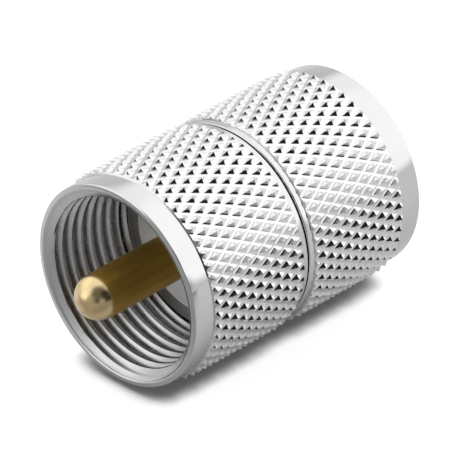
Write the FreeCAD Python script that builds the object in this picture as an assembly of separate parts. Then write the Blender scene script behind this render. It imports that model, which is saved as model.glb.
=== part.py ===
import FreeCAD, Part
import math
import os

# UHF double male adapter, lying on its side with its axis along X.
# Origin on the floor under the middle. The front mouth looks to -X, up is +Z.
# Every half is drawn about a local Z axis that runs from the middle out of its mouth.

# Overall sizes
KNURL_RADIUS = 9.0
MOUTH_TO_MOUTH = 25.43
HALF_LENGTH = MOUTH_TO_MOUTH / 2

# Coupling thread 5/8-24 UNEF, right hand
THREAD_MAJOR_RADIUS = 7.9375
THREAD_PITCH = 25.4 / 24
THREAD_MINOR_RADIUS = THREAD_MAJOR_RADIUS - 0.5413 * THREAD_PITCH
THREAD_DEPTH_IN = 7.2

# Coupling nut
NUT_GAP = 0.16
NUT_BACK = NUT_GAP / 2
BAND_RADIUS = 8.56
MOUTH_RADIUS = 8.18
MOUTH_CHAMFER_DEPTH = 0.42
RIM_EDGE_ROUND = 0.16
BACK_EDGE_ROUND = 0.12
RELIEF_RADIUS = THREAD_MAJOR_RADIUS + 0.06
RELIEF_TAPER = 0.45
LIP_THICKNESS = 1.85
CUT_OVERRUN = 1.0

# Diamond knurl on the nut
KNURL_TEETH = 52
KNURL_ROW_PITCH = 1.94
KNURL_DEPTH = 0.34
BAND_LENGTH = 2.03
KNURL_MOUTH_END = HALF_LENGTH - BAND_LENGTH
KNURL_BACK_END = 0.66
KNURL_MOUTH_CHAMFER = 0.42
KNURL_BACK_CHAMFER = 0.16
KNURL_FOOT_STEP = 0.02
KNURL_ROW_ORIGIN = 10.265
FRONT_KNURL_TURN_DEG = -3.03
REAR_KNURL_TURN_DEG = -1.73

# Body shells
SHELL_RUNNING_CLEARANCE = 0.10
SHELL_TUBE_RADIUS = 5.90
LIP_BORE_RADIUS = SHELL_TUBE_RADIUS + SHELL_RUNNING_CLEARANCE
FLANGE_CLEARANCE = 0.20
FLANGE_RADIUS = THREAD_MINOR_RADIUS - FLANGE_CLEARANCE
SHELL_DEPTH_IN = 8.26
SHELL_FACE = HALF_LENGTH - SHELL_DEPTH_IN
FLANGE_THICKNESS = 1.45
FLANGE_BACK = SHELL_FACE - FLANGE_THICKNESS
FLANGE_EDGE = 0.15
SOCKET_WALL = 0.80
SPIGOT_WALL = 0.80
SPIGOT_RADIUS = SHELL_TUBE_RADIUS - SOCKET_WALL
SHELL_BORE_RADIUS = SPIGOT_RADIUS - SPIGOT_WALL
SPIGOT_LENGTH = 2.20
SPIGOT_LEAD = 0.25
SOCKET_EXTRA = 0.15

# Insulators
INSULATOR_HEAD_RADIUS = 5.70
INSULATOR_HEAD_DEPTH = 1.15
INSULATOR_PROUD = 0.20
INSULATOR_EDGE = 0.12
INSULATOR_GAP = 0.06

# Centre contact
PIN_RADIUS = 1.90
PIN_REACH = 3.87
PIN_TIP = HALF_LENGTH + PIN_REACH
SEAT_STEP = 0.25
CONTACT_SEAT_RADIUS = PIN_RADIUS + SEAT_STEP
COLLAR_STEP = 0.75
COLLAR_RADIUS = CONTACT_SEAT_RADIUS + COLLAR_STEP
COLLAR_WIDTH = 2.40


def point(r, z):
    return FreeCAD.Vector(r, 0, z)


def turned(path):
    # Full revolution of a closed outline given as radius and height pairs
    wire = Part.makePolygon([point(r, z) for r, z in path + path[:1]])
    face = Part.Face(wire)
    return face.revolve(FreeCAD.Vector(0, 0, 0), FreeCAD.Vector(0, 0, 1), 360)


def rounded_corner(r, z, radius, toward_r, toward_z, steps=2):
    # Points of a quarter round at an outline corner
    cr = r + toward_r * radius
    cz = z + toward_z * radius
    found = []
    for i in range(steps + 1):
        a = math.pi / 2 * i / steps
        found.append((cr - toward_r * radius * math.sin(a), cz - toward_z * radius * math.cos(a)))
    return found


def knurl_point(u, v, height):
    # Crossing helical grooves: u and v count the grooves of the two hands
    angle = math.pi * (u + v) / KNURL_TEETH
    z = KNURL_ROW_ORIGIN + (u - v) * KNURL_ROW_PITCH / 2
    r = KNURL_RADIUS - KNURL_DEPTH * (1 - height)
    return FreeCAD.Vector(r * math.cos(angle), r * math.sin(angle), z)


def mouth_side(p):
    # Height above the bevel that ends the knurl towards the mouth
    slope = KNURL_MOUTH_CHAMFER / (KNURL_RADIUS - BAND_RADIUS)
    return KNURL_MOUTH_END - slope * (math.hypot(p.x, p.y) - BAND_RADIUS) - p.z


def back_side(p):
    # The same for the steeper bevel beside the seam
    slope = KNURL_BACK_CHAMFER / (KNURL_RADIUS - BAND_RADIUS)
    return p.z - KNURL_BACK_END - slope * (math.hypot(p.x, p.y) - BAND_RADIUS)


def crossing(a, b, side):
    # Where an edge meets a bevel, found from both ends alike
    low, high = 0.0, 1.0
    for _ in range(40):
        middle = (low + high) / 2
        if side(a + (b - a) * middle) > 0:
            low = middle
        else:
            high = middle
    return a + (b - a) * low


def clip(points, side, found):
    # Part of a facet inside a bevel; the points made on the bevel are kept for its own facets
    kept = []
    for i, a in enumerate(points):
        b = points[(i + 1) % len(points)]
        if side(a) > 0:
            kept.append(a)
        if side(a) > 0 and side(b) <= 0:
            kept.append(crossing(a, b, side))
            found.append(kept[-1])
        if side(a) <= 0 and side(b) > 0:
            kept.append(crossing(b, a, side))
            found.append(kept[-1])
    return kept


def flat(points):
    return Part.Face(Part.makePolygon(points + points[:1]))


def bevel(found, slope_sign, end, chamfer):
    # Flat strips from the cut teeth down to a ring just over the plain band, and the flat end that closes it
    order = {}
    for p in found:
        order[round(math.atan2(p.y, p.x) % (2 * math.pi), 5)] = p
    teeth = [order[k] for k in sorted(order)]
    foot = BAND_RADIUS + KNURL_FOOT_STEP
    slope = chamfer / (KNURL_RADIUS - BAND_RADIUS)
    z = end - slope_sign * slope * KNURL_FOOT_STEP
    ring = []
    for p in teeth:
        scale = foot / math.hypot(p.x, p.y)
        ring.append(FreeCAD.Vector(p.x * scale, p.y * scale, z))
    faces = [flat(ring)]
    for i, p in enumerate(teeth):
        j = (i + 1) % len(teeth)
        faces.append(flat([p, teeth[j], ring[j], ring[i]]))
    return faces


def knurl_core():
    # Solid plug whose side is the field of four-sided pyramids left between the grooves
    faces = []
    mouth_points = []
    back_points = []
    first = int((KNURL_BACK_END - KNURL_ROW_ORIGIN) / KNURL_ROW_PITCH * 2) - 3
    last = int((KNURL_MOUTH_END - KNURL_ROW_ORIGIN) / KNURL_ROW_PITCH * 2) + 3
    for row in range(first, last + 1):
        for column in range(KNURL_TEETH):
            apex = knurl_point(column + row + 0.5, column + 0.5, 1)
            ring = []
            for u, v in ((0, 0), (1, 0), (1, 1), (0, 1)):
                ring.append(knurl_point(column + row + u, column + v, 0))
            for i in range(4):
                facet = clip([ring[i], ring[(i + 1) % 4], apex], mouth_side, mouth_points)
                if facet:
                    facet = clip(facet, back_side, back_points)
                if len(facet) > 2:
                    faces.append(flat(facet))
    faces += bevel(mouth_points, 1, KNURL_MOUTH_END, KNURL_MOUTH_CHAMFER)
    faces += bevel(back_points, -1, KNURL_BACK_END, KNURL_BACK_CHAMFER)
    return Part.makeSolid(Part.makeShell(faces))


def coupling_nut():
    # One nut with its knurl, about the local Z axis
    shank = turned(
        [(0, NUT_BACK)]
        + rounded_corner(BAND_RADIUS, NUT_BACK, BACK_EDGE_ROUND, -1, 1)
        + [(BAND_RADIUS, HALF_LENGTH - RIM_EDGE_ROUND)]
        + rounded_corner(BAND_RADIUS, HALF_LENGTH, RIM_EDGE_ROUND, -1, -1)[::-1]
        + [(0, HALF_LENGTH)]
    )
    bore = turned([
        (0, NUT_BACK - CUT_OVERRUN),
        (LIP_BORE_RADIUS, NUT_BACK - CUT_OVERRUN),
        (LIP_BORE_RADIUS, NUT_BACK + LIP_THICKNESS),
        (RELIEF_RADIUS, NUT_BACK + LIP_THICKNESS),
        (RELIEF_RADIUS, HALF_LENGTH - THREAD_DEPTH_IN - RELIEF_TAPER),
        (THREAD_MINOR_RADIUS, HALF_LENGTH - THREAD_DEPTH_IN),
        (THREAD_MINOR_RADIUS, HALF_LENGTH - MOUTH_CHAMFER_DEPTH),
        (MOUTH_RADIUS, HALF_LENGTH),
        (MOUTH_RADIUS, HALF_LENGTH + CUT_OVERRUN),
        (0, HALF_LENGTH + CUT_OVERRUN),
    ])
    return shank.fuse(knurl_core()).cut(bore)


def front_shell():
    # Flanged tube whose thinner tail is the spigot
    outline = [
        (SHELL_BORE_RADIUS, -SPIGOT_LENGTH),
        (SPIGOT_RADIUS - SPIGOT_LEAD, -SPIGOT_LENGTH),
        (SPIGOT_RADIUS, -SPIGOT_LENGTH + SPIGOT_LEAD),
        (SPIGOT_RADIUS, 0),
        (SHELL_TUBE_RADIUS, 0),
    ]
    return turned(outline + flange_outline())


def rear_shell():
    # The same flanged tube with a socket that takes the spigot
    socket_floor = SPIGOT_LENGTH + SOCKET_EXTRA
    outline = [
        (SHELL_BORE_RADIUS, socket_floor),
        (SPIGOT_RADIUS, socket_floor),
        (SPIGOT_RADIUS, 0),
        (SHELL_TUBE_RADIUS, 0),
    ]
    return turned(outline + flange_outline())


def flange_outline():
    # Outer side, front face and stepped bore, shared by both shells
    head_floor = SHELL_FACE - INSULATOR_HEAD_DEPTH
    return [
        (SHELL_TUBE_RADIUS, FLANGE_BACK),
        (FLANGE_RADIUS - FLANGE_EDGE, FLANGE_BACK),
        (FLANGE_RADIUS, FLANGE_BACK + FLANGE_EDGE),
        (FLANGE_RADIUS, SHELL_FACE - FLANGE_EDGE),
        (FLANGE_RADIUS - FLANGE_EDGE, SHELL_FACE),
        (INSULATOR_HEAD_RADIUS + FLANGE_EDGE, SHELL_FACE),
        (INSULATOR_HEAD_RADIUS, SHELL_FACE - FLANGE_EDGE),
        (INSULATOR_HEAD_RADIUS, head_floor),
        (SHELL_BORE_RADIUS, head_floor),
    ]


def insulator():
    # Headed bush that centres the contact and traps its collar
    face = SHELL_FACE + INSULATOR_PROUD
    head_floor = SHELL_FACE - INSULATOR_HEAD_DEPTH
    inner = INSULATOR_GAP / 2
    return turned([
        (COLLAR_RADIUS, inner),
        (SHELL_BORE_RADIUS, inner),
        (SHELL_BORE_RADIUS, head_floor),
        (INSULATOR_HEAD_RADIUS, head_floor),
        (INSULATOR_HEAD_RADIUS, face - INSULATOR_EDGE),
        (INSULATOR_HEAD_RADIUS - INSULATOR_EDGE, face),
        (CONTACT_SEAT_RADIUS, face),
        (CONTACT_SEAT_RADIUS, COLLAR_WIDTH / 2),
        (COLLAR_RADIUS, COLLAR_WIDTH / 2),
    ])


def contact():
    # One turned pin with a ball nose at each end, thicker where it sits in the insulators
    face = SHELL_FACE + INSULATOR_PROUD
    shape = None
    for radius, half in (
        (PIN_RADIUS, PIN_TIP - PIN_RADIUS),
        (CONTACT_SEAT_RADIUS, face),
        (COLLAR_RADIUS, COLLAR_WIDTH / 2),
    ):
        step = Part.makeCylinder(radius, 2 * half, FreeCAD.Vector(0, 0, -half))
        shape = step if shape is None else shape.fuse(step)
    for end in (-1, 1):
        nose = Part.makeSphere(PIN_RADIUS, FreeCAD.Vector(0, 0, end * (PIN_TIP - PIN_RADIUS)))
        shape = shape.fuse(nose)
    return shape.removeSplitter()


def placed(shape, toward_x, turn_deg=0):
    # Lay a half on its side so that its mouth looks along the X axis, and lift it to the floor
    result = shape.copy()
    origin = FreeCAD.Vector(0, 0, 0)
    result.rotate(origin, FreeCAD.Vector(0, 0, 1), turn_deg)
    result.rotate(origin, FreeCAD.Vector(0, 1, 0), 90 * toward_x)
    result.translate(FreeCAD.Vector(0, 0, KNURL_RADIUS))
    return result


nut = coupling_nut()

pieces = {
    "front_coupling_nut": placed(nut, -1, FRONT_KNURL_TURN_DEG),
    "rear_coupling_nut": placed(nut, 1, REAR_KNURL_TURN_DEG),
    "front_body_shell": placed(front_shell(), -1),
    "rear_body_shell": placed(rear_shell(), 1),
    "front_insulator": placed(insulator(), -1),
    "rear_insulator": placed(insulator(), 1),
    "center_contact": placed(contact(), -1),
}

os.makedirs("parts", exist_ok=True)
for name, shape in pieces.items():
    solid = shape.Solids[0]
    solid.exportStep("parts/" + name + ".step")
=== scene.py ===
import math

import bpy
import numpy as np
from mathutils import Matrix, Vector


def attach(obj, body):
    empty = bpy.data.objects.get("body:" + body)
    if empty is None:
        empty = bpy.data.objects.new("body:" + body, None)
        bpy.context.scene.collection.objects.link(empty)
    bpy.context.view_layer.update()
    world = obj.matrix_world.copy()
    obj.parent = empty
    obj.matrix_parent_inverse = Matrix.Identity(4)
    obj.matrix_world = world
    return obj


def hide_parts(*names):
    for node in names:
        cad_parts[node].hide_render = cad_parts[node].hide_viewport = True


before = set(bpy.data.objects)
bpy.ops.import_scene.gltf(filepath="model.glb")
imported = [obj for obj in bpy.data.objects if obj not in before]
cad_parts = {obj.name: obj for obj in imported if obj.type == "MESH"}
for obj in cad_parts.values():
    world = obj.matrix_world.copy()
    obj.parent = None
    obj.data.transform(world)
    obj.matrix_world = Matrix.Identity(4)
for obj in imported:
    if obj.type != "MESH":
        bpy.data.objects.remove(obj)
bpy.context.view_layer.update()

MM = 0.001

# Sizes in millimetres, the same as in the part's source
KNURL_RADIUS = 9.0
HALF_LENGTH = 12.715
THREAD_MAJOR_RADIUS = 7.9375
THREAD_PITCH = 25.4 / 24
# Height of the internal thread form over its pitch
THREAD_HEIGHT_RATIO = 0.5413
THREAD_MINOR_RADIUS = THREAD_MAJOR_RADIUS - THREAD_HEIGHT_RATIO * THREAD_PITCH
THREAD_DEPTH_IN = 7.2
NUT_BACK = 0.08
BAND_RADIUS = 8.56
MOUTH_RADIUS = 8.18
MOUTH_CHAMFER_DEPTH = 0.42
RIM_EDGE_ROUND = 0.16
BACK_EDGE_ROUND = 0.12
RELIEF_RADIUS = THREAD_MAJOR_RADIUS + 0.06
LIP_THICKNESS = 1.85
LIP_BORE_RADIUS = 6.0
KNURL_TEETH = 52
KNURL_ROW_PITCH = 1.94
KNURL_DEPTH = 0.34
KNURL_TURN = {"front": math.radians(-3.03), "rear": math.radians(-1.73)}
KNURL_MOUTH_END = HALF_LENGTH - 2.03
KNURL_BACK_END = 0.66
KNURL_MOUTH_CHAMFER = 0.42
KNURL_BACK_CHAMFER = 0.16
KNURL_ROW_ORIGIN = 10.265
SHELL_FACE = HALF_LENGTH - 8.26
INSULATOR_FACE = SHELL_FACE + 0.20
PIN_RADIUS = 1.90
SEAT_RADIUS = 2.15
COLLAR_RADIUS = 2.90
COLLAR_HALF = 1.20
PIN_TIP = HALF_LENGTH + 3.87

# Sizes in millimetres that only the scene has
# Height of the ridge's middle at angle 0, which sets where the thread starts
THREAD_START = 10.965
# Power that makes the knurl's flanks hollow
KNURL_CURVE = 2.0
# The wall behind the thread steps out to the relief over the step's length
RELIEF_LENGTH = 0.5
RELIEF_STEP_LENGTH = 0.1
# The thread fades over this length behind its full depth, towards the lip
RUN_OUT = 3.2
# The ridge goes this far into the wall, so that no gap opens under it
RIDGE_LAP = 0.02
CREST_SOFTENING = 0.05
# Tangent of the 30 degree flank
FLANK_SLOPE = 0.577
# The ridge starts beyond the mouth and ends behind the run-out, where the cones hold it in the wall
RIDGE_START_MARGIN = 0.35
RIDGE_END_MARGIN = 0.9
# Least distance of the ridge from the mouth face
MOUTH_FACE_GAP = 0.02
# The ridge's foot is this much wider than the thread form on each side
FOOT_MARGIN = 0.01
# Its back is bowed out into the wall by this much
BACK_BOW = 0.05

# How finely the meshes are divided
BACK_BEVEL_ROWS = 5
MOUTH_BEVEL_ROWS = 12
NOSE_ROWS = 28
GRID_PER_TOOTH = 16
RIDGE_STEPS_PER_TURN = 160
CONTACT_COLUMNS = 128

# Where one finish or painted tone fades into the next (the knurl's painted highlight, the painted shade in
# the bore and on the shank): radii from the nut's axis, and lengths from the middle for the nose
BORE_EDGE = (MOUTH_RADIUS - 0.02, MOUTH_RADIUS - 0.06)
KNURL_HIGHLIGHT_EDGE = (BAND_RADIUS + 0.01, BAND_RADIUS + 0.06)
THREAD_ROOT_EDGE = (THREAD_MAJOR_RADIUS - 0.14, THREAD_MAJOR_RADIUS - 0.04)
THREAD_ROOT_ROUGHNESS = 0.42
NOSE_EDGE = (PIN_TIP - PIN_RADIUS + 0.14, PIN_TIP - PIN_RADIUS + 0.26)
# The shank's deeper, darker gold is painted shade where it sits in the bore; the paler nose gold is its lit
# copy
SHANK_SHADE_COLOUR = (0.68, 0.42, 0.08)
NOSE_COLOUR = (0.82, 0.64, 0.35)
NOSE_ROUGHNESS = 0.25


def place(r, a, z, toward_x):
    """Local (r cos a, r sin a, z) laid on its side: world (t z, r sin a, R - t r cos a),
    with t = -1 for the front half and 1 for the rear one."""
    x = toward_x * z
    y = r * np.sin(a)
    up = KNURL_RADIUS - toward_x * r * np.cos(a)
    return np.stack([x, y, up], -1) * MM


def mesh_object(name, points, faces, material, smooth_angle):
    """Mesh shaded smooth, with edges sharper than the angle in degrees kept sharp."""
    mesh = bpy.data.meshes.new(name)
    flat = points.reshape(-1, 3)
    mesh.from_pydata(flat.tolist(), [], faces)
    mesh.validate()
    mesh.shade_smooth()
    mesh.set_sharp_from_angle(angle=math.radians(smooth_angle))
    mesh.materials.append(material)
    obj = bpy.data.objects.new(name, mesh)
    bpy.context.scene.collection.objects.link(obj)
    return obj


def grid_faces(rows, columns, wrap_rows, flip, pick=None):
    """Faces of a rows x columns grid closed round its columns.
    Where pick is given, it chooses each quad's diagonal and the faces are triangles."""
    i = np.arange(rows if wrap_rows else rows - 1)
    j = np.arange(columns)
    I, J = np.meshgrid(i, j, indexing="ij")
    a = I * columns + J
    b = I * columns + (J + 1) % columns
    c = ((I + 1) % rows) * columns + (J + 1) % columns
    d = ((I + 1) % rows) * columns + J
    if pick is None:
        quads = np.stack([a, b, c, d], -1).reshape(-1, 4)
        return (quads[:, ::-1] if flip else quads).tolist()
    first = np.where(pick[..., None], np.stack([a, b, c], -1), np.stack([a, b, d], -1))
    second = np.where(pick[..., None], np.stack([a, c, d], -1), np.stack([b, c, d], -1))
    tris = np.concatenate([first.reshape(-1, 3), second.reshape(-1, 3)])
    return (tris[:, ::-1] if flip else tris).tolist()


def wave(x):
    """Triangle wave: 0 at whole numbers and 1 half way between them."""
    return 1 - np.abs(2 * (x - np.floor(x)) - 1)


def knurl_radius(a, z):
    """r = R - D (1 - h), h = min(w(u), w(v)) squared, so that the flanks are hollow and meet in points,
    u = N a / 2 pi + (z - z0) / P, v = N a / 2 pi - (z - z0) / P, w the triangle wave,
    held under the bevel at each end and over the plain band."""
    around = KNURL_TEETH * a / (2 * math.pi)
    along = (z - KNURL_ROW_ORIGIN) / KNURL_ROW_PITCH
    field = np.minimum(wave(around + along), wave(around - along))
    field = field ** KNURL_CURVE
    r = KNURL_RADIUS - KNURL_DEPTH * (1 - field)
    step = KNURL_RADIUS - BAND_RADIUS
    mouth = BAND_RADIUS + step * (KNURL_MOUTH_END - z) / KNURL_MOUTH_CHAMFER
    back = BAND_RADIUS + step * (z - KNURL_BACK_END) / KNURL_BACK_CHAMFER
    r = np.minimum(r, np.minimum(mouth, back))
    return np.maximum(r, BAND_RADIUS)


def corner(r, z, radius, inward_r, inward_z, steps=4):
    """Quarter round at an outline corner:
    the corner plus radius times (1 - sin t, 1 - cos t), turned inwards."""
    t = np.linspace(0, math.pi / 2, steps + 1)
    return np.stack(
        [r + inward_r * radius * (1 - np.sin(t)), z + inward_z * radius * (1 - np.cos(t))], -1
    )


def nut_outside(name, toward_x, turn, material):
    """Closed ring swept round the axis from one outline.
    Its knurled side, bevels included, is knurl_radius(a, z)."""
    columns = KNURL_TEETH * GRID_PER_TOOTH
    a = np.arange(columns) * 2 * math.pi / columns
    step = KNURL_ROW_PITCH / GRID_PER_TOOTH
    first = math.ceil((KNURL_BACK_END + KNURL_BACK_CHAMFER - KNURL_ROW_ORIGIN) / step)
    last = math.floor((KNURL_MOUTH_END - KNURL_MOUTH_CHAMFER - KNURL_ROW_ORIGIN) / step)
    z_knurl = np.concatenate([
        np.linspace(KNURL_BACK_END, KNURL_BACK_END + KNURL_BACK_CHAMFER, BACK_BEVEL_ROWS),
        KNURL_ROW_ORIGIN + step * np.arange(first, last + 1),
        np.linspace(KNURL_MOUTH_END - KNURL_MOUTH_CHAMFER, KNURL_MOUTH_END, MOUTH_BEVEL_ROWS),
    ])
    z_knurl = np.unique(np.round(z_knurl, 4))
    back = corner(BAND_RADIUS, NUT_BACK, BACK_EDGE_ROUND, -1, 1)
    rim = corner(BAND_RADIUS, HALF_LENGTH, RIM_EDGE_ROUND, -1, -1)[::-1]
    cone_slope = MOUTH_CHAMFER_DEPTH / (MOUTH_RADIUS - THREAD_MINOR_RADIUS)
    wall_top = HALF_LENGTH - cone_slope * (MOUTH_RADIUS - THREAD_MAJOR_RADIUS)
    thread_end = NUT_BACK + LIP_THICKNESS + RELIEF_LENGTH
    before = np.concatenate([[[LIP_BORE_RADIUS, NUT_BACK]], back])
    after = np.concatenate([
        rim,
        [
            [MOUTH_RADIUS, HALF_LENGTH],
            [THREAD_MAJOR_RADIUS, wall_top],
            [THREAD_MAJOR_RADIUS, thread_end],
            [RELIEF_RADIUS, thread_end - RELIEF_STEP_LENGTH],
            [RELIEF_RADIUS, NUT_BACK + LIP_THICKNESS],
            [LIP_BORE_RADIUS, NUT_BACK + LIP_THICKNESS],
        ],
    ])
    z = np.concatenate([before[:, 1], z_knurl, after[:, 1]])
    r_plain = np.concatenate([before[:, 0], z_knurl * 0, after[:, 0]])
    rows = len(z)
    A, Z = np.meshgrid(a, z, indexing="xy")
    knurled = np.zeros(rows, bool)
    knurled[len(before):len(before) + len(z_knurl)] = True
    radius = np.where(knurled[:, None], knurl_radius(A, Z), r_plain[:, None])
    # Diagonal of each quad: the one whose middle lies on the true surface
    half_a = math.pi / columns
    z_mid = (Z + np.roll(Z, -1, 0)) / 2
    middle = knurl_radius(A + half_a, z_mid)
    right = np.roll(radius, -1, 1)
    up = np.roll(radius, -1, 0)
    across = np.roll(up, -1, 1)
    pick = np.abs((radius + across) / 2 - middle) <= np.abs((right + up) / 2 - middle)
    points = place(radius, A + turn, Z, toward_x)
    faces = grid_faces(rows, columns, True, False, pick)
    return mesh_object(name, points, faces, material, smooth_angle=20)


def thread_ridge(name, toward_x, material):
    """Unified thread form carried up a right-hand helix z = z0 + p a / 2 pi.
    The flank is 7p/16 from the middle at the wall and p/8 at the crest, and the ridge is held outside
    the mouth's cone and the run-out's cone."""
    p = THREAD_PITCH
    turns = (THREAD_DEPTH_IN + RUN_OUT + RIDGE_END_MARGIN) / p
    count = int(turns * RIDGE_STEPS_PER_TURN)
    top = HALF_LENGTH + RIDGE_START_MARGIN
    a_top = (top - THREAD_START) / p * 2 * math.pi
    a = a_top - np.arange(count + 1) / RIDGE_STEPS_PER_TURN * 2 * math.pi
    centre = THREAD_START + p * a / (2 * math.pi)
    wall = THREAD_MAJOR_RADIUS + RIDGE_LAP
    minor = THREAD_MINOR_RADIUS
    soft = CREST_SOFTENING
    profile = np.array([
        [wall, -7 * p / 16 - FOOT_MARGIN],
        [minor + soft, -p / 8 - soft * FLANK_SLOPE],
        [minor + soft * 0.25, -p / 8 + soft * 0.1],
        [minor, -p / 8 + soft],
        [minor, p / 8 - soft],
        [minor + soft * 0.25, p / 8 - soft * 0.1],
        [minor + soft, p / 8 + soft * FLANK_SLOPE],
        [wall, 7 * p / 16 + FOOT_MARGIN],
        [wall + BACK_BOW, 0],
    ])
    r = np.broadcast_to(profile[None, :, 0], (len(a), len(profile))).copy()
    z = centre[:, None] + profile[None, :, 1]
    z = np.minimum(z, HALF_LENGTH - MOUTH_FACE_GAP)
    mouth = MOUTH_RADIUS - (HALF_LENGTH - z) * (MOUTH_RADIUS - minor) / MOUTH_CHAMFER_DEPTH
    out = HALF_LENGTH - THREAD_DEPTH_IN
    run_out = minor + (out - z) * (wall - minor) / RUN_OUT
    sunk = wall + 2 * RIDGE_LAP
    r = np.maximum(r, np.minimum(np.maximum(mouth, run_out), sunk))
    A = np.broadcast_to(a[:, None], r.shape)
    points = place(r, A, z, toward_x)
    n, m = r.shape
    faces = grid_faces(n, m, False, False)
    faces.append(list(range(m)))
    faces.append(list(range((n - 1) * m, n * m))[::-1])
    return mesh_object(name, points, faces, material, smooth_angle=35)


def contact_piece(name, material):
    """Outline of the pin turned round the axis; each nose is a half circle of the pin's own radius."""
    t = np.linspace(0, math.pi / 2, NOSE_ROWS)[1:]
    nose = np.stack([PIN_RADIUS * np.sin(t), PIN_TIP - PIN_RADIUS * (1 - np.cos(t))], -1)
    steps = [
        [PIN_RADIUS, INSULATOR_FACE],
        [SEAT_RADIUS, INSULATOR_FACE],
        [SEAT_RADIUS, COLLAR_HALF],
        [COLLAR_RADIUS, COLLAR_HALF],
    ]
    half = np.concatenate([nose, steps])
    other = half[::-1] * [1, -1]
    outline = np.concatenate([half, other])
    columns = CONTACT_COLUMNS
    a = np.arange(columns) * 2 * math.pi / columns
    R = np.broadcast_to(outline[:, 0][:, None], (len(outline), columns))
    Z = np.broadcast_to(outline[:, 1][:, None], (len(outline), columns))
    A = np.broadcast_to(a[None, :], R.shape)
    points = place(R, A, Z, 1).reshape(-1, 3)
    tips = np.array([[PIN_TIP, 0, KNURL_RADIUS], [-PIN_TIP, 0, KNURL_RADIUS]]) * MM
    n = len(outline)
    faces = grid_faces(n, columns, False, True)
    start = n * columns
    j = np.arange(columns)
    k = (j + 1) % columns
    last = (n - 1) * columns
    faces += np.stack([np.full(columns, start), j, k], -1).tolist()
    faces += np.stack([np.full(columns, start + 1), last + k, last + j], -1).tolist()
    return mesh_object(name, np.concatenate([points, tips]), faces, material, smooth_angle=30)


def node_material(name):
    """A new material with its nodes, links, shader and object coordinates."""
    material = bpy.data.materials.new(name)
    material.use_nodes = True
    nodes = material.node_tree.nodes
    links = material.node_tree.links
    shader = nodes["Principled BSDF"]
    coords = nodes.new("ShaderNodeTexCoord")
    return material, nodes, links, shader, coords


def noise_between(nodes, links, coords, scale, low, high, detail=3.0, stretch=(1, 1, 1)):
    """Noise in object space mapped to a range of values."""
    mapping = nodes.new("ShaderNodeMapping")
    mapping.inputs["Scale"].default_value = stretch
    links.new(coords.outputs["Object"], mapping.inputs["Vector"])
    noise = nodes.new("ShaderNodeTexNoise")
    noise.inputs["Scale"].default_value = scale
    noise.inputs["Detail"].default_value = detail
    links.new(mapping.outputs["Vector"], noise.inputs["Vector"])
    span = nodes.new("ShaderNodeMapRange")
    span.inputs["From Min"].default_value = 0.3
    span.inputs["From Max"].default_value = 0.7
    span.inputs["To Min"].default_value = low
    span.inputs["To Max"].default_value = high
    links.new(noise.outputs["Fac"], span.inputs["Value"])
    return span.outputs["Result"]


def axis_distance(nodes, links, coords):
    """Distance from the nut's axis, in metres."""
    parts = nodes.new("ShaderNodeSeparateXYZ")
    links.new(coords.outputs["Object"], parts.inputs["Vector"])
    lift = nodes.new("ShaderNodeMath")
    lift.operation = "SUBTRACT"
    lift.inputs[1].default_value = KNURL_RADIUS * MM
    links.new(parts.outputs["Z"], lift.inputs[0])
    across = nodes.new("ShaderNodeCombineXYZ")
    links.new(parts.outputs["Y"], across.inputs["Y"])
    links.new(lift.outputs["Value"], across.inputs["Z"])
    length = nodes.new("ShaderNodeVectorMath")
    length.operation = "LENGTH"
    links.new(across.outputs["Vector"], length.inputs[0])
    return length.outputs["Value"]


def ring_mask(nodes, links, across, start, end):
    """0 at the start radius and 1 at the end radius, in millimetres."""
    mask = nodes.new("ShaderNodeMapRange")
    mask.inputs["From Min"].default_value = start * MM
    mask.inputs["From Max"].default_value = end * MM
    links.new(across, mask.inputs["Value"])
    return mask.outputs["Result"]


def blend(nodes, links, low, high, mask, kind="FLOAT"):
    """Low where the mask is 0 and high where it is 1."""
    mix = nodes.new("ShaderNodeMix")
    mix.data_type = kind
    for name, value in (("A", low), ("B", high)):
        if isinstance(value, bpy.types.NodeSocket):
            links.new(value, mix.inputs[name])
        else:
            mix.inputs[name].default_value = value
    links.new(mask, mix.inputs["Factor"])
    return mix.outputs["Result"]


def tinted(nodes, links, tone, shade):
    """The tone multiplied by a grey shade."""
    mix = nodes.new("ShaderNodeMix")
    mix.data_type = "RGBA"
    mix.blend_type = "MULTIPLY"
    mix.inputs["Factor"].default_value = 1.0
    if isinstance(tone, bpy.types.NodeSocket):
        links.new(tone, mix.inputs["A"])
    else:
        mix.inputs["A"].default_value = tone
    links.new(shade, mix.inputs["B"])
    return mix.outputs["Result"]


def nut_plate(name, colour, knurl_highlight_colour, bore_shade_colour, rough, bore_rough):
    """Bright plate outside, a lighter tone on the knurl as a painted highlight, and a darker tone on the
    threads and the bore as painted shade, where the plate is also rougher.
    """
    material, nodes, links, shader, coords = node_material(name)
    shader.inputs["Metallic"].default_value = 1.0
    across = axis_distance(nodes, links, coords)
    mask = ring_mask(nodes, links, across, *BORE_EDGE)
    knurl_highlight_mask = ring_mask(nodes, links, across, *KNURL_HIGHLIGHT_EDGE)
    # Painted highlight: the knurl gets a lighter copy of the nickel's tone
    tone = blend(nodes, links, (*colour, 1), (*knurl_highlight_colour, 1), knurl_highlight_mask, "RGBA")
    # Painted shade: the bore, mouth cone and threads get a darker copy of the nickel's tone
    tone = blend(nodes, links, tone, (*bore_shade_colour, 1), mask, "RGBA")
    shade = noise_between(nodes, links, coords, scale=260.0, low=0.94, high=1.0)
    links.new(tinted(nodes, links, tone, shade), shader.inputs["Base Color"])
    outer = noise_between(nodes, links, coords, scale=900.0, low=rough[0], high=rough[1])
    inner = noise_between(nodes, links, coords, scale=700.0, low=bore_rough[0], high=bore_rough[1])
    wall = ring_mask(nodes, links, across, *THREAD_ROOT_EDGE)
    inner = blend(nodes, links, inner, THREAD_ROOT_ROUGHNESS, wall)
    level = blend(nodes, links, outer, inner, mask)
    links.new(level, shader.inputs["Roughness"])
    return material


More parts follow.
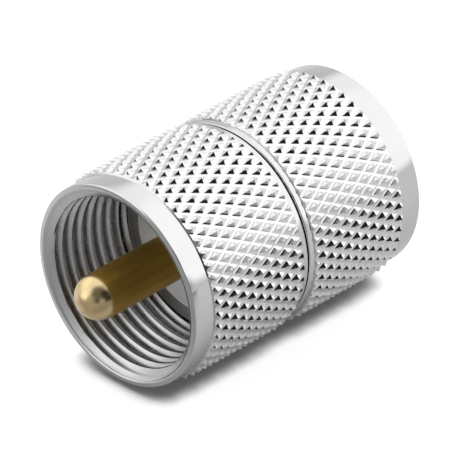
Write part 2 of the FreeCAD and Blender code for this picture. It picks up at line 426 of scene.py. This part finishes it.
def plated(name, colour, rough_low, rough_high, bump, metallic=1.0):
    """Plain finish of one colour with a fine grain; metallic 0 makes it a plastic."""
    material, nodes, links, shader, coords = node_material(name)
    shader.inputs["Metallic"].default_value = metallic
    rough = noise_between(nodes, links, coords, scale=900.0, low=rough_low, high=rough_high)
    links.new(rough, shader.inputs["Roughness"])
    shade = noise_between(nodes, links, coords, scale=260.0, low=0.94, high=1.0)
    links.new(tinted(nodes, links, (*colour, 1), shade), shader.inputs["Base Color"])
    if bump:
        height = noise_between(
            nodes, links, coords, scale=2600.0, low=0.0, high=1.0, detail=2.0, stretch=(0.25, 1, 1)
        )
        node = nodes.new("ShaderNodeBump")
        node.inputs["Strength"].default_value = bump
        node.inputs["Distance"].default_value = 0.00001
        links.new(height, node.inputs["Height"])
        links.new(node.outputs["Normal"], shader.inputs["Normal"])
    return material


def contact_gold(name):
    """Gold as a lit and a shaded copy: paler and glossier on the noses, and a deeper, softer tone along the
    shank as painted shade, parted by the distance from the middle."""
    material, nodes, links, shader, coords = node_material(name)
    shader.inputs["Metallic"].default_value = 1.0
    parts = nodes.new("ShaderNodeSeparateXYZ")
    links.new(coords.outputs["Object"], parts.inputs["Vector"])
    along = nodes.new("ShaderNodeMath")
    along.operation = "ABSOLUTE"
    links.new(parts.outputs["X"], along.inputs[0])
    nose = nodes.new("ShaderNodeMapRange")
    nose.inputs["From Min"].default_value = NOSE_EDGE[0] * MM
    nose.inputs["From Max"].default_value = NOSE_EDGE[1] * MM
    links.new(along.outputs["Value"], nose.inputs["Value"])
    mask = nose.outputs["Result"]
    shade = noise_between(nodes, links, coords, scale=1500.0, low=0.75, high=1.0, stretch=(0.08, 1, 1))
    # Painted shade as deeper gold along the shank, and the paler lit copy on the noses
    tone = blend(nodes, links, (*SHANK_SHADE_COLOUR, 1), (*NOSE_COLOUR, 1), mask, "RGBA")
    links.new(tinted(nodes, links, tone, shade), shader.inputs["Base Color"])
    rough = noise_between(nodes, links, coords, scale=900.0, low=0.36, high=0.46)
    level = blend(nodes, links, rough, NOSE_ROUGHNESS, mask)
    links.new(level, shader.inputs["Roughness"])
    return material


nickel = nut_plate(
    "bright_nickel_plate",
    colour=(0.62, 0.62, 0.62),
    # The lighter knurl tone is a painted highlight, the darker bore tone painted shade
    knurl_highlight_colour=(0.71, 0.71, 0.71),
    bore_shade_colour=(0.58, 0.58, 0.59),
    rough=(0.03, 0.05),
    bore_rough=(0.24, 0.32),
)
body_nickel = plated(
    "turned_nickel_plate", colour=(0.66, 0.66, 0.66), rough_low=0.34, rough_high=0.44, bump=0.3
)
gold = contact_gold("gold_plate")
ptfe = plated(
    "white_fluoropolymer",
    colour=(0.94, 0.94, 0.94),
    rough_low=0.42,
    rough_high=0.55,
    bump=0.3,
    metallic=0.0,
)

for side, toward_x in (("front", -1), ("rear", 1)):
    skin = nut_outside(side + "_nut_body", toward_x, KNURL_TURN[side], nickel)
    ridge = thread_ridge(side + "_nut_thread", toward_x, nickel)
    for piece in (skin, ridge):
        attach(piece, side + "_nut")
    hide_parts(side + "_coupling_nut")
pin = contact_piece("contact_pin", gold)
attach(pin, "core")
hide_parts("center_contact")

for node, material in (
    ("front_body_shell", body_nickel),
    ("rear_body_shell", body_nickel),
    ("front_insulator", ptfe),
    ("rear_insulator", ptfe),
    ("front_coupling_nut", nickel),
    ("rear_coupling_nut", nickel),
    ("center_contact", gold),
):
    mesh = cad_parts[node].data
    mesh.materials.clear()
    mesh.materials.append(material)



def grey(level):
    return (level, level, level, 1)


# Tones of the floor: as the part mirrors it, the same with painted shade on the camera's side, as it lights
# the part, and as the camera sees it under its glow
FLOOR_MIRRORED = 0.86
FLOOR_MIRRORED_PAINTED_SHADE = 0.42
FLOOR_LIGHTING = 0.66
FLOOR_SEEN = 0.25

# Floor: the part mirrors one with painted shade towards the camera, and the camera sees a white glow
# with a soft painted shadow where the part is near, over the lit floor's own faint shadow
floor_mesh = bpy.data.meshes.new("floor")
floor_mesh.from_pydata([(-2, -2, 0), (2, -2, 0), (2, 2, 0), (-2, 2, 0)], [], [(0, 1, 2, 3)])
floor = bpy.data.objects.new("floor", floor_mesh)
bpy.context.scene.collection.objects.link(floor)
white, nodes, links, shader, coords = node_material("white_table")
shader.inputs["Roughness"].default_value = 0.8
shader.inputs["Specular IOR Level"].default_value = 0.1
path = nodes.new("ShaderNodeLightPath")
reach = nodes.new("ShaderNodeVectorMath")
reach.operation = "DOT_PRODUCT"
painted_shade_side = math.radians(-150)
reach.inputs[1].default_value = (math.cos(painted_shade_side), math.sin(painted_shade_side), 0)
links.new(coords.outputs["Object"], reach.inputs[0])
# Painted shade: the floor the part mirrors darkens on the camera's side, 12 to 24 mm out
painted_shade_mask = nodes.new("ShaderNodeMapRange")
painted_shade_mask.interpolation_type = "SMOOTHSTEP"
painted_shade_mask.inputs["From Min"].default_value = 12 * MM
painted_shade_mask.inputs["From Max"].default_value = 24 * MM
links.new(reach.outputs["Value"], painted_shade_mask.inputs["Value"])
mirrored = blend(
    nodes, links, grey(FLOOR_MIRRORED), grey(FLOOR_MIRRORED_PAINTED_SHADE), painted_shade_mask.outputs["Result"], "RGBA"
)
seen = blend(nodes, links, grey(FLOOR_LIGHTING), mirrored, path.outputs["Is Glossy Ray"], "RGBA")
seen = blend(nodes, links, seen, grey(FLOOR_SEEN), path.outputs["Is Camera Ray"], "RGBA")
links.new(seen, shader.inputs["Base Color"])
# Painted shadow: the white glow the camera sees dims where the part is near
painted_shadow_occlusion = nodes.new("ShaderNodeAmbientOcclusion")
painted_shadow_occlusion.samples = 16
painted_shadow_occlusion.inputs["Distance"].default_value = 2.2 * MM
painted_shadow_ramp = nodes.new("ShaderNodeMapRange")
painted_shadow_ramp.interpolation_type = "SMOOTHSTEP"
painted_shadow_ramp.inputs["From Min"].default_value = 0.36
painted_shadow_ramp.inputs["From Max"].default_value = 0.92
painted_shadow_ramp.inputs["To Min"].default_value = 0.05
painted_shadow_ramp.inputs["To Max"].default_value = 0.9
links.new(painted_shadow_occlusion.outputs["AO"], painted_shadow_ramp.inputs["Value"])
glow_with_painted_shadow = blend(nodes, links, 0.0, painted_shadow_ramp.outputs["Result"], path.outputs["Is Camera Ray"])
shader.inputs["Emission Color"].default_value = (1, 1, 1, 1)
links.new(glow_with_painted_shadow, shader.inputs["Emission Strength"])
floor_mesh.materials.append(white)

# Soft studio light, given by direction
world = bpy.data.worlds.new("studio")
bpy.context.scene.world = world
world.use_nodes = True
nodes = world.node_tree.nodes
links = world.node_tree.links
background = nodes["Background"]
coords = nodes.new("ShaderNodeTexCoord")


def heading(azimuth, elevation):
    """Unit vector at an azimuth from +X and an elevation, in degrees."""
    a = math.radians(azimuth)
    e = math.radians(elevation)
    return Vector((math.cos(a) * math.cos(e), math.sin(a) * math.cos(e), math.sin(e)))


def facing(direction, outer, inner):
    """Smooth mask of the directions within a cone: 0 beyond the outer half angle, 1 inside the inner one."""
    dot = nodes.new("ShaderNodeVectorMath")
    dot.operation = "DOT_PRODUCT"
    dot.inputs[1].default_value = direction
    links.new(coords.outputs["Generated"], dot.inputs[0])
    mask = nodes.new("ShaderNodeMapRange")
    mask.interpolation_type = "SMOOTHSTEP"
    mask.inputs["From Min"].default_value = math.cos(math.radians(outer))
    mask.inputs["From Max"].default_value = math.cos(math.radians(inner))
    links.new(dot.outputs["Value"], mask.inputs["Value"])
    return mask.outputs["Result"]


# Light cards and dark flags, left and right as the camera sees them. Each lies over the ones before it.
# Strength, azimuth and elevation of the middle, then the half angles where it ends and where it is full,
# in degrees.
CARDS = (
    (1.40, 12, 37, 34, 21),  # behind, to the right
    (1.36, 110, 58, 54, 34),  # wide and high, on the left and a little behind
    (1.30, 165, 42, 32, 16),  # high, before the mouth
    (1.50, 148, 12, 26, 14),  # low on the left
    (1.52, -13, 44, 32, 18),  # high, beyond the rear nut
    (1.50, -12, 12, 27, 15),  # low, beyond the rear nut
    (1.52, -44, 32, 33, 23),  # main card on the right
    (0.55, -148, 8, 52, 32),  # wide and grey, low on the camera's side
    (0.18, -134, 49, 42, 22),  # dark flag round and above the camera
    (0.02, -92, 34, 28, 16),  # black flag between the camera and the main card
    (0.02, -85, 8, 25, 16),  # the same, lower down
    (0.06, -141, 8, 17, 9),  # small black flag under the camera
)
AMBIENT = 0.80
level = AMBIENT
for strength, azimuth, elevation, outer, inner in CARDS:
    cone = facing(heading(azimuth, elevation), outer, inner)
    level = blend(nodes, links, level, strength, cone)
links.new(level, background.inputs["Strength"])
background.inputs["Color"].default_value = (1, 1, 1, 1)

# Camera: a long lens, with its axes and place in metres fitted to the outlines in the photo
camera_data = bpy.data.cameras.new("camera")
camera = bpy.data.objects.new("camera", camera_data)
bpy.context.scene.collection.objects.link(camera)
camera_data.sensor_width = 36.0
camera_data.lens = 514.63
camera_data.clip_start = 0.01
camera_data.clip_end = 20.0
right = Vector((0.69655683, -0.71750162, 0.0))
down = Vector((-0.38019753, -0.36909908, -0.84806586))
ahead = Vector((0.60848863, 0.59072607, -0.52989083))
turn = Matrix((right, -down, -ahead)).transposed().to_4x4()
camera.matrix_world = Matrix.Translation(Vector((-0.32209025, -0.31317888, 0.28870638))) @ turn
bpy.context.scene.camera = camera
bpy.context.scene.view_settings.view_transform = "Standard"
